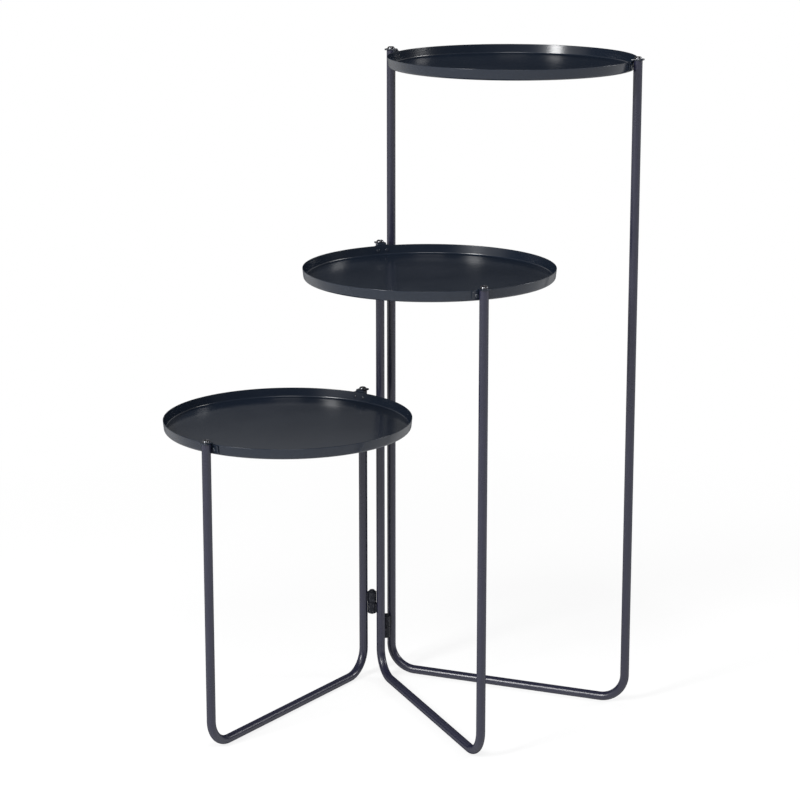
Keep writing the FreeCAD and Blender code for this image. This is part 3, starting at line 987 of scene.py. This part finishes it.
@dataclass
class Bracket(SubAssembly):
    """The bent bracket: a curved flange on the rim that narrows to a tab over the tube end."""

    tray: PressedTray
    sheet: float = BRACKET_SHEET
    bend: float = 0.5
    flange_width: float = 23.0
    flange_length: float = 10.0
    flange_corner: float = 1.5
    shoulder_drop: float = 1.0
    tab_width: float = 11.0
    tab_reach: float = 13.0
    tab_corner: float = 2.0
    seat_gap: float = SEAT_GAP
    edge: float = 0.32
    edge_limit: float = 0.49
    end_turns: Point = (0.3, 0.9)
    columns: int = 16
    outline_steps: int = 6
    bend_steps: int = 8
    straight_steps: int = 5
    corner_steps: int = 7
    edge_steps: int = 4

    def stations(self) -> list[tuple[Vector, Vector, float]]:
        """(back point, front point, half width) along the sheet, foot to tab end.

        Points are (radius, height) in the tier's own frame.
        """
        rim = -self.tray.rim_drop
        face = self.tray.radius + self.seat_gap
        front = self.tray.radius + self.sheet
        foot = rim - self.flange_length
        tab_half = self.tab_width / 2
        outline = rounded_profile([
            (0, foot, 0),
            (self.flange_width / 2, foot, self.flange_corner),
            (self.flange_width / 2, rim - self.shoulder_drop, self.flange_corner),
            (tab_half, -self.bend, 0),
        ], self.outline_steps)[1:]
        rows = []
        for half, height in outline:
            lean = max(0.0, rim - height) * self.tray.slope
            rows.append((Vector((face - lean, height)), Vector((front - lean, height)), half))
        centre = Vector((front + self.bend, -self.bend))
        for k in range(1, self.bend_steps + 1):
            turn = math.radians(180 - 90 * k / self.bend_steps)
            swing = Vector((math.cos(turn), math.sin(turn)))
            back = centre + swing * (self.bend + self.sheet)
            rows.append((back, centre + swing * self.bend, tab_half))
        start = front + self.bend
        straight = self.tray.radius + self.tab_reach - self.tab_corner
        for k in range(1, self.straight_steps + 1):
            reach = start + (straight - start) * k / self.straight_steps
            rows.append((Vector((reach, self.sheet)), Vector((reach, 0)), tab_half))
        for k in range(1, self.corner_steps + 1):
            turn = math.radians(90 * k / self.corner_steps)
            reach = straight + self.tab_corner * math.sin(turn)
            half = tab_half - self.tab_corner * (1 - math.cos(turn))
            rows.append((Vector((reach, self.sheet)), Vector((reach, 0)), half))
        return rows

    def loop(self, row: tuple[Vector, Vector, float], inset: float) -> list[Vector]:
        """The rounded section of the sheet at one station, drawn in by an inset."""
        back, front, half = row
        share = inset / self.sheet
        near = back.lerp(front, share)
        far = front.lerp(back, share)
        width = half - inset
        edge = min(self.edge, (near - far).length * self.edge_limit)
        depth = edge / (near - far).length
        points: list[Vector] = []
        for face, toward, sign in ((near, far, 1), (far, near, -1)):
            for k in range(self.columns + 1):
                across = sign * (width - edge) * (2 * k / self.columns - 1)
                points.append(self._spot(face, across))
            for k in range(1, self.edge_steps):
                turn = math.radians(90 * k / self.edge_steps)
                across = sign * (width - edge + edge * math.sin(turn))
                section = face.lerp(toward, depth * (1 - math.cos(turn)))
                points.append(self._spot(section, across))
            points.append(self._spot(face.lerp(toward, depth), sign * width))
        return points

    @staticmethod
    def _spot(section: Vector, across: float) -> Vector:
        """A section point carried round the tray's axis to a distance across."""
        return Vector((math.sqrt(section.x ** 2 - across ** 2), across, section.y))

    def build(self, side: Side) -> None:
        """Makes the bracket at one upright."""
        rows = self.stations()
        insets = [self.edge * (1 - math.sin(turn)) for turn in self.end_turns]
        first = [self.loop(rows[0], inset) for inset in insets]
        last = [self.loop(rows[-1], inset) for inset in reversed(insets)]
        loops = first + [self.loop(row, 0.0) for row in rows] + last
        draft = Draft()
        draft.loft(loops, self.station.place @ Matrix.Rotation(side.facing, 4, "Z"))
        label = f"{side.name.lower()}_bracket"
        mesh = draft.finished(self.station.node(label + "_sheet"))
        self.put_up(mesh, Slot.TRAYS, label, self.shop.tray_coat)


@dataclass
class Fasteners(SubAssembly):
    """A tier's four rivets and two cross-recess screws."""

    tray: PressedTray
    upright_reach: float = FRAME_WIDTH / 2
    rivet_radius: float = 1.5
    rivet_spacing: float = 11.0
    rivet_drop: float = 5.5
    head_radius: float = 2.4
    head_height: float = 1.1
    tail_radius: float = 2.0
    tail_height: float = 0.7
    rivet_sides: int = 40
    bracket_sheet: float = BRACKET_SHEET
    seat_gap: float = SEAT_GAP
    screw_radius: float = 2.0
    screw_length: float = 12.0
    screw_point: float = 0.5
    screw_sides: int = 64
    screw_head_radius: float = 4.25
    screw_head_height: float = 2.6
    screw_head_rounding: float = 0.8
    screw_steps: int = 10
    recess_width: float = 4.6
    recess_slot: float = 1.1
    recess_depth: float = 1.5
    recess_lead: float = 0.4
    recess_mouth: float = 1.06
    recess_floor: float = 0.62
    seed: int = 7

    def rivet(self) -> Mesh:
        """One rivet, its axis along Z and the wall's outer face at Z = 0."""
        head = self.bracket_sheet + self.seat_gap
        tail = -self.tray.sheet - self.seat_gap
        levels = (tail - self.tail_height, tail, head, head + self.head_height)
        radii = (self.tail_radius, self.rivet_radius, self.head_radius)
        return turned("rivet", headed_pin(levels, radii), self.rivet_sides, Matrix.Identity(4))

    def screw(self) -> Mesh:
        """One pan-head screw, its axis along Z and the tube's end at Z = 0."""
        seat = self.bracket_sheet
        top = seat + self.screw_head_height
        profile = rounded_profile([
            (0, seat - self.screw_length, 0),
            (self.screw_radius, seat - self.screw_length, self.screw_point),
            (self.screw_radius, seat, 0),
            (self.screw_head_radius, seat, 0),
            (self.screw_head_radius, top, self.screw_head_height * self.screw_head_rounding),
            (0, top, 0),
        ], self.screw_steps)
        blank = turned("screw_blank", profile, self.screw_sides, Matrix.Identity(4))
        solid = in_scene("screw_blank", blank)
        cutter = in_scene("screw_driver", self._cross(top))
        cut = solid.modifiers.new("recess", "BOOLEAN")
        cut.operation = "DIFFERENCE"
        cut.solver = "EXACT"
        cut.object = cutter
        mesh = settled(solid)
        bpy.data.objects.remove(cutter)
        smooth(mesh)
        return mesh

    def _cross(self, top: float) -> Mesh:
        """The driver's cross, tapering downwards, as one closed prism."""
        loops = []
        ends = ((-self.recess_lead, self.recess_mouth), (self.recess_depth, self.recess_floor))
        for drop, share in ends:
            arm = self.recess_width / 2 * share
            half = self.recess_slot / 2 * (share + 1) / 2
            quarter = [(arm, -half), (arm, half), (half, half)]
            loop = []
            for k in range(4):
                turn = Matrix.Rotation(math.pi / 2 * k, 3, "Z")
                loop += [turn @ Vector((x, y, top - drop)) for x, y in quarter]
            loops.append(loop)
        draft = Draft()
        draft.loft(loops, Matrix.Identity(4))
        return draft.finished("driver_cross")

    def rivet_points(self) -> list[Spot]:
        """(place, outward axis) of the tier's rivets, in the stand's frame."""
        lean = math.radians(self.tray.draft)
        radius = self.tray.radius - self.rivet_drop * self.tray.slope
        level = Vector((0, 0, -self.tray.rim_drop - self.rivet_drop))
        points = []
        for side in Side:
            for offset in (-1, 1):
                bearing = side.facing + offset * self.rivet_spacing / 2 / self.tray.radius
                outward = Vector((math.cos(bearing), math.sin(bearing), 0))
                spot = outward * radius + level
                axis = outward * math.cos(lean) - Vector((0, 0, math.sin(lean)))
                points.append((spot, axis))
        return self._placed(points)

    def screw_points(self) -> list[Spot]:
        """(place, axis) of the tier's screws, in the stand's frame."""
        up = Vector((0, 0, 1))
        spots = [Vector((side.value * self.upright_reach, 0, 0)) for side in Side]
        return self._placed([(spot, up) for spot in spots])

    def _placed(self, points: list[Spot]) -> list[Spot]:
        """Carries places and axes into the stand's frame."""
        place = self.station.place
        return [(place @ spot, place.to_3x3() @ axis) for spot, axis in points]

    def _set_out(
        self, label: str, mesh: Mesh, points: list[Spot], turn: float, material: Material,
    ) -> Mesh:
        """Copies of one fastener on points, as a single mesh."""
        name = self.station.node(label)
        host = bpy.data.meshes.new(name + "_points")
        host.from_pydata([spot * MM for spot, _ in points], [], [])
        axes = [value for _, axis in points for value in axis]
        host.attributes.new("axis", "FLOAT_VECTOR", "POINT").data.foreach_set("vector", axes)
        pattern = in_scene(name + "_pattern", mesh)
        result = self.shop.fasteners.run(name, host, {
            "Fastener": pattern, "Turn": turn, "Seed": self.seed, "Material": material,
        })
        bpy.data.objects.remove(pattern)
        return result

    def build(self) -> None:
        """Makes the rivets and the screws, and finishes the hidden inserts."""
        rivets = self._set_out(
            "rivet_heads", self.rivet(), self.rivet_points(), 0.0, self.shop.rivet_coat,
        )
        self.put_up(rivets, Slot.TRAYS, "rivets")
        screws = self._set_out(
            "pan_head_screws", self.screw(), self.screw_points(), math.pi / 2,
            self.shop.screw_black,
        )
        self.put_up(screws, Slot.SCREWS, "screws")
        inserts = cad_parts[self.station.node("tube_inserts")]
        inserts.data.materials.clear()
        inserts.data.materials.append(self.shop.insert_zinc)


@dataclass
class BarrelHinge:
    """One weld-on barrel hinge: two knuckles, their welds and the pin."""

    shop: Workshop
    name: str
    seat_body: str
    seat_upright: Vector
    swing_body: str
    swing_upright: Vector
    barrel_radius: float = 5.15
    bore_radius: float = 2.6
    barrel_edge: float = 0.5
    barrel_edge_steps: int = 5
    barrel_sides: int = 56
    upright_radius: float = TUBE_RADIUS
    pin_radius: float = 2.5
    pin_head_radius: float = 3.5
    pin_head_height: float = 1.8
    pin_tail_radius: float = 3.0
    pin_tail_height: float = 1.2
    pin_sides: int = 48
    weld_half_width: float = 2.6
    weld_radius: float = 1.3
    weld_end_gap: float = 1.2
    weld_offsets: tuple[float, ...] = (-1.0, -0.4, 0.4, 1.0)
    weld_ripples: float = 9.0
    weld_ripple_depth: float = 0.16
    weld_lump_depth: float = 0.35

    def _axis(self) -> Vector:
        """Where the hinge's axis meets the floor."""
        low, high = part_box(f"{self.name}_pin")
        middle = (low + high) / 2 / MM
        return Vector((middle.x, middle.y, 0))

    def _span(self, piece: str) -> tuple[float, float]:
        """Lowest and highest level of one of the hinge's nodes, in millimetres."""
        low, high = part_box(f"{self.name}_{piece}")
        return low.z / MM, high.z / MM

    def build(self) -> None:
        """Makes both knuckles, their welds and the pin."""
        self._knuckle("seat", self.seat_body, self.seat_upright, 1.0)
        self._knuckle("swing", self.swing_body, self.swing_upright, 2.0)
        self._pin()

    def _knuckle(self, label: str, body: str, upright: Vector, seed: float) -> None:
        """One knuckle and the weld that ties it to its upright."""
        node = f"{self.name}_{label}_knuckle"
        low, high = self._span(f"{label}_knuckle")
        axis = self._axis()
        loop = rounded_profile([
            (self.bore_radius, low, 0),
            (self.barrel_radius, low, self.barrel_edge),
            (self.barrel_radius, high, self.barrel_edge),
            (self.bore_radius, high, 0),
        ], self.barrel_edge_steps)
        place = Matrix.Translation(axis)
        mesh = turned(node + "_barrel", loop, self.barrel_sides, place, closed=True)
        put_up(mesh.name, mesh, body, [node], self.shop.hinge_coat)
        span = (low + self.weld_end_gap, high - self.weld_end_gap)
        self._weld(f"{self.name}_{label}_weld", body, axis, upright, span, seed)

    def _weld(
        self, name: str, body: str, axis: Vector, upright: Vector, span: Point, seed: float,
    ) -> None:
        """Rippled beads in the crevices between barrel and upright, and fill between them."""
        towards = Vector((upright.x - axis.x, upright.y - axis.y, 0))
        reach = towards.length
        towards.normalize()
        across = Vector((-towards.y, towards.x, 0))
        both = self.barrel_radius + self.upright_radius
        beside = axis + towards * (reach * self.barrel_radius / both)
        draft = Draft()
        for step in self.weld_offsets:
            spot = beside + across * (step * self.weld_half_width)
            ends = [spot + Vector((0, 0, level)) for level in span]
            draft.path(ends, Matrix.Identity(4))
        mesh = self.shop.bead.run(name, draft.finished("weld_lines"), {
            "Bead Radius": self.weld_radius * MM,
            "Ripples": self.weld_ripples,
            "Ripple Depth": self.weld_ripple_depth,
            "Lump Depth": self.weld_lump_depth * MM,
            "Seed": seed,
            "Material": self.shop.hinge_coat,
        })
        put_up(name, mesh, body)

    def _pin(self) -> None:
        """The pin, with its domed head and riveted tail."""
        low, high = self._span("pin")
        levels = (low, low + self.pin_tail_height, high - self.pin_head_height, high)
        radii = (self.pin_tail_radius, self.pin_radius, self.pin_head_radius)
        place = Matrix.Translation(self._axis())
        name = f"{self.name}_pin_turned"
        mesh = turned(name, headed_pin(levels, radii), self.pin_sides, place)
        nodes = [f"{self.name}_pin"]
        put_up(name, mesh, self.seat_body, nodes, self.shop.hinge_coat)


@dataclass
class Tier:
    """One frame with its tray, brackets and fasteners."""

    shop: Workshop
    station: Station

    @property
    def tube(self) -> TubeFrame:
        """The tier's tube frame."""
        return TubeFrame(self.shop, self.station)

    def build(self) -> None:
        """Makes everything on the tier."""
        tray = PressedTray(self.shop, self.station)
        self.tube.build()
        tray.build()
        bracket = Bracket(self.shop, self.station, tray)
        for side in Side:
            bracket.build(side)
        Fasteners(self.shop, self.station, tray).build()


# ---- studio


@dataclass(frozen=True)
class SoftBox:
    """A soft lamp, aimed at the middle of the stand: metres and watts."""

    name: str
    place: Place
    size: Point
    power: float
    target: Place = (0.0, 0.0, 0.35)

    def hang(self) -> None:
        """Makes the lamp."""
        light = bpy.data.lights.new(self.name, "AREA")
        light.shape = "RECTANGLE"
        light.size, light.size_y = self.size
        light.energy = self.power
        lamp = in_scene(self.name, light)
        lamp.location = self.place
        aim = Vector(self.target) - Vector(self.place)
        lamp.rotation_euler = aim.to_track_quat("-Z", "Y").to_euler()


SOFT_BOXES = (
    SoftBox("left_soft_box", (-2.35, -0.95, 1.65), (0.55, 1.15), 72.0),
    SoftBox("right_soft_box", (2.6, -0.6, 1.5), (0.7, 0.7), 26.0),
    SoftBox("front_soft_box", (-0.75, -1.8, 2.2), (1.1, 1.1), 24.0),
)


@dataclass
class Studio:
    """The pale floor, the soft lamps, the white surround and the camera."""

    camera_place: Place = (-1.0182, -2.4512, 1.0284)
    camera_pitch: float = 13.03
    camera_yaw: float = 22.29
    focal_length: float = 109.35
    frame_shift: float = -0.05
    sensor_width: float = 36.0
    floor_half: float = 14.0
    floor_grain: float = 400.0
    floor_levels: Point = (0.90, 0.93)
    shadow_reach: float = 0.6
    near_glow: float = 0.78
    surround_light: float = 0.55
    overhead: Stops = (
        (0.0, 1.0), (0.02, 0.03), (0.27, 0.01), (0.31, 0.90),
        (0.42, 0.45), (0.60, 0.03), (0.80, 0.03), (1.0, 0.20),
    )
    panel_towards: Place = (-0.962, -0.258, 0.087)
    panel_edge: Stops = ((0.86, 0.0), (0.97, 1.0))

    def floor(self) -> None:
        """The floor, which stays near white and keeps the shadow."""
        tree, material = MaterialTree.of_material("studio_floor")
        tone = tree.shades(tree.noise(self.floor_grain, 2.0), WHITE, self.floor_levels)
        matt = tree.node("ShaderNodeBsdfDiffuse", None, {"Color": tone})
        glow = tree.node("ShaderNodeEmission", None, {"Color": rgba(WHITE), "Strength": 1.0})
        rays = self._background_rays(tree)
        length = {"operation": "LENGTH"}
        away = tree.node("ShaderNodeVectorMath", length, {0: tree.place()}, "Value")
        far = ((away - self.shadow_reach) / self.shadow_reach).most(0.0).least(1.0)
        share = self.near_glow + far * (1.0 - self.near_glow)
        mixed = tree.node("ShaderNodeMixShader", None, {0: rays * share, 1: matt, 2: glow})
        tree.node("ShaderNodeOutputMaterial", None, {0: mixed})
        mesh = bpy.data.meshes.new("studio_floor")
        h = self.floor_half
        mesh.from_pydata([(-h, -h, 0), (h, -h, 0), (h, h, 0), (-h, h, 0)], [], [(0, 1, 2, 3)])
        mesh.materials.append(material)
        floor = in_scene("studio_floor", mesh)

    @staticmethod
    def _background_rays(tree: MaterialTree) -> Signal:
        """One for rays that see the background straight, mirrored or through glass."""
        camera = tree.node("ShaderNodeLightPath", output="Is Camera Ray")
        glossy = tree.node("ShaderNodeLightPath", output="Is Glossy Ray")
        through = tree.node("ShaderNodeLightPath", output="Is Transmission Ray")
        return camera.most(glossy).most(through)

    def surround(self) -> None:
        """The world: white to look at, softer as a light, dimmer overhead in the gloss."""
        world = bpy.data.worlds.new("studio_world")
        world.use_nodes = True
        world.node_tree.nodes.clear()
        tree = MaterialTree(world.node_tree)
        rays = self._background_rays(tree)
        direction = tree.node("ShaderNodeTexCoord", output="Generated")
        rise = tree.node("ShaderNodeSeparateXYZ", None, {0: direction}, "Z")
        mirrored = tree.node("ShaderNodeLightPath", output="Is Glossy Ray")
        sockets = {0: direction, 1: self.panel_towards}
        dot = {"operation": "DOT_PRODUCT"}
        beside = tree.node("ShaderNodeVectorMath", dot, sockets, "Value")
        seen = tree.ramp(rise, self.overhead).most(tree.ramp(beside, self.panel_edge))
        level = 1.0 - mirrored * (1.0 - seen)
        white, soft = (
            tree.node("ShaderNodeBackground", None, {"Color": rgba(WHITE), "Strength": strength})
            for strength in (level, self.surround_light)
        )
        mixed = tree.node("ShaderNodeMixShader", None, {0: rays, 1: soft, 2: white})
        tree.node("ShaderNodeOutputWorld", None, {0: mixed})
        bpy.context.scene.world = world

    def camera(self) -> None:
        """The camera, at the photograph's viewing angle."""
        data = bpy.data.cameras.new("view")
        data.sensor_width = self.sensor_width
        data.lens = self.focal_length
        data.shift_y = self.frame_shift
        camera = in_scene("view", data)
        camera.location = self.camera_place
        camera.rotation_euler = (
            math.radians(90 - self.camera_pitch), 0.0, math.radians(-self.camera_yaw),
        )
        bpy.context.scene.camera = camera

    def build(self) -> None:
        """Sets up the whole studio."""
        self.floor()
        self.surround()
        for soft_box in SOFT_BOXES:
            soft_box.hang()
        self.camera()
        bpy.context.scene.view_settings.view_transform = "Standard"


def main() -> None:
    """Builds the stand, tier by tier, then its hinges and the studio."""
    logging.basicConfig(level=logging.INFO, format="%(name)s %(message)s")
    shop = Workshop.fitted_out()
    low, mid, tall = (Tier(shop, Station(tier, azimuth)) for tier, azimuth in AZIMUTHS.items())
    for tier in (low, mid, tall):
        tier.build()
    fixed = mid.tube.upright(Side.INNER)
    for swinging in (low, tall):
        upright = swinging.tube.upright(Side.INNER)
        for level in ("bottom", "top"):
            name = f"{swinging.station.tier}_{level}_hinge"
            BarrelHinge(
                shop, name, mid.station.body, fixed, swinging.station.body, upright,
            ).build()
    Studio().build()


if __name__ == "__main__":
    main()
